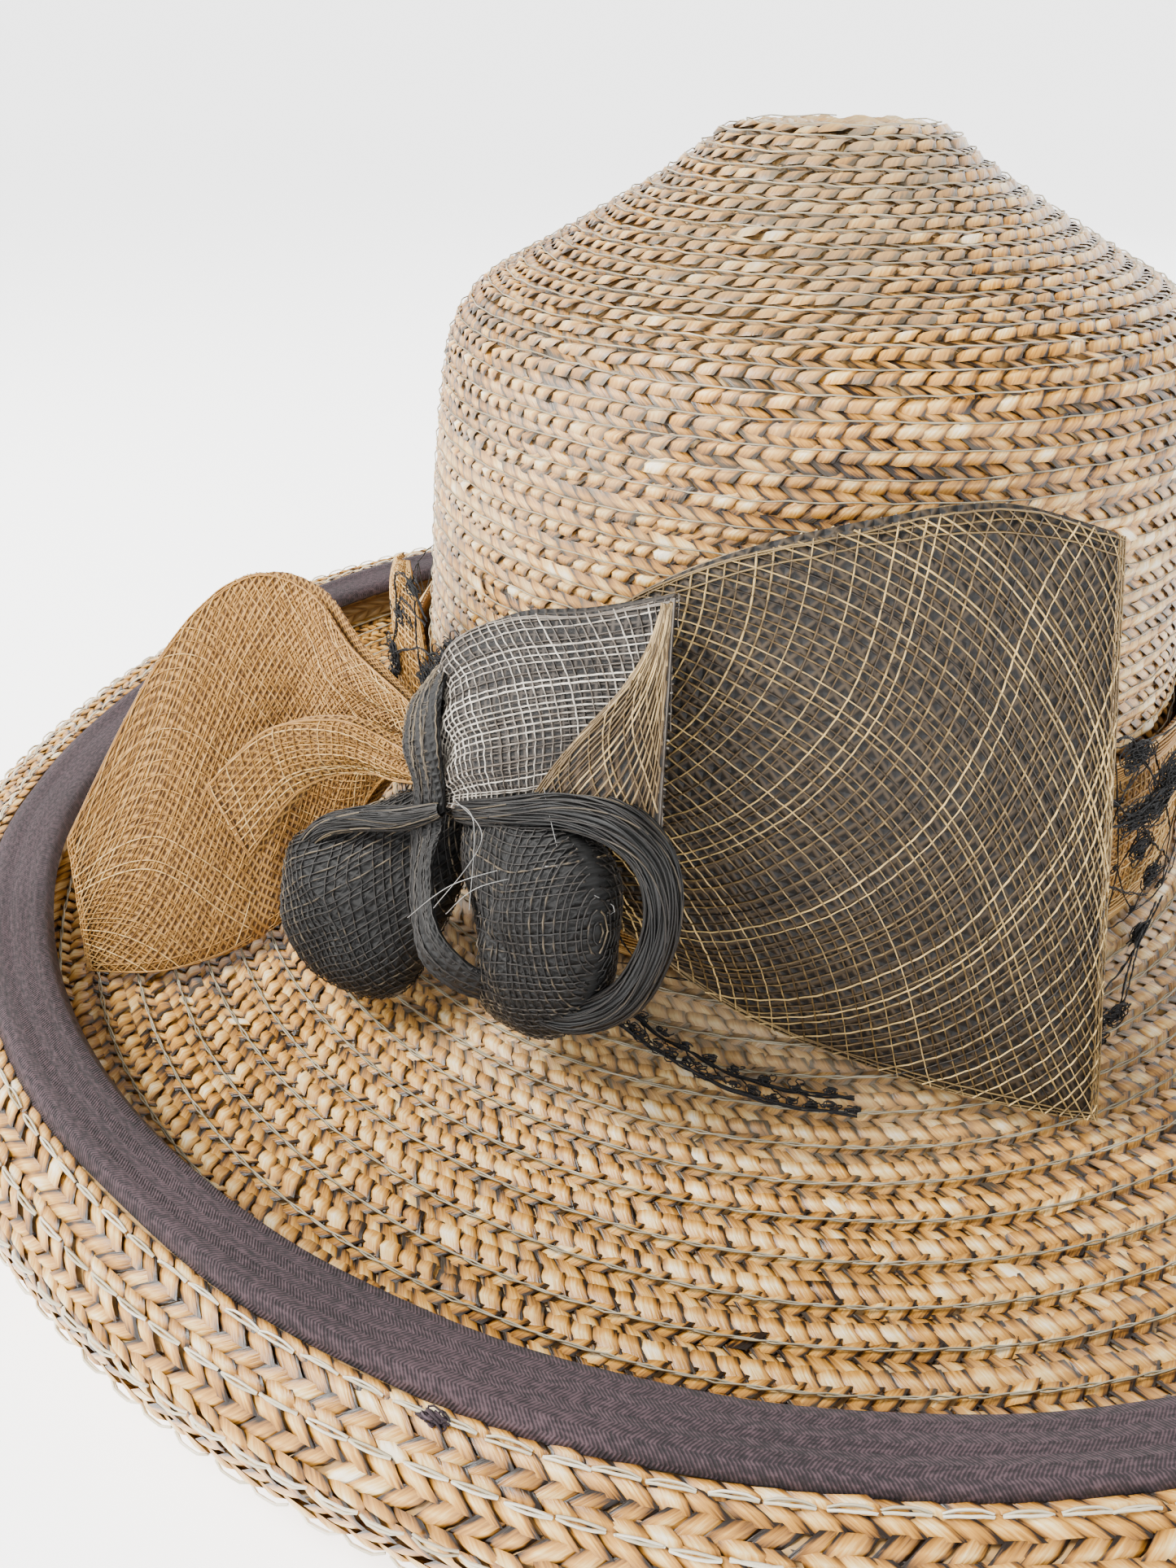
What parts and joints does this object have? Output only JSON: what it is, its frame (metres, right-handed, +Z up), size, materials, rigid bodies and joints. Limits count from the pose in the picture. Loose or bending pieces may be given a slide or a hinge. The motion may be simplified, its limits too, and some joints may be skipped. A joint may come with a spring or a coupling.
{
  "type": "straw hat",
  "caption": "Wide straw hat with a domed crown, a brim rolled up and over at a bound edge, a sinamay band and bow, and black lace net.",
  "frame": {"origin": "centre of the head opening, on the surface that the hat rests on", "axes": "+Z up along the crown's axis, front towards -Y, the bow at the front left as seen from the front"},
  "size_m": [0.4078, 0.4079, 0.1652],
  "materials": {
    "straw": "sewn wheat-straw plait, satin",
    "ribbon": "woven purple-brown ribbon, matt",
    "tan_sinamay": "open-weave banana fibre, golden tan",
    "taupe_sinamay": "open-weave banana fibre, taupe",
    "grey_sinamay": "open-weave banana fibre, silver grey",
    "dark_sinamay": "open-weave banana fibre, near black",
    "lace": "black knotted yarn, matt"
  },
  "bodies": {
    "root": {"crown": "straw", "brim": "straw", "edge_ribbon": "ribbon", "crown_band": "tan_sinamay", "lace_net": "lace", "bow_knot": "dark_sinamay", "bow_strap": "dark_sinamay", "bow_fan": "taupe_sinamay", "bow_leaf": "grey_sinamay", "bow_wing": "tan_sinamay", "bow_fold": "tan_sinamay", "rosette_left": "dark_sinamay", "rosette_right": "dark_sinamay"}
  },
  "joints": []
}
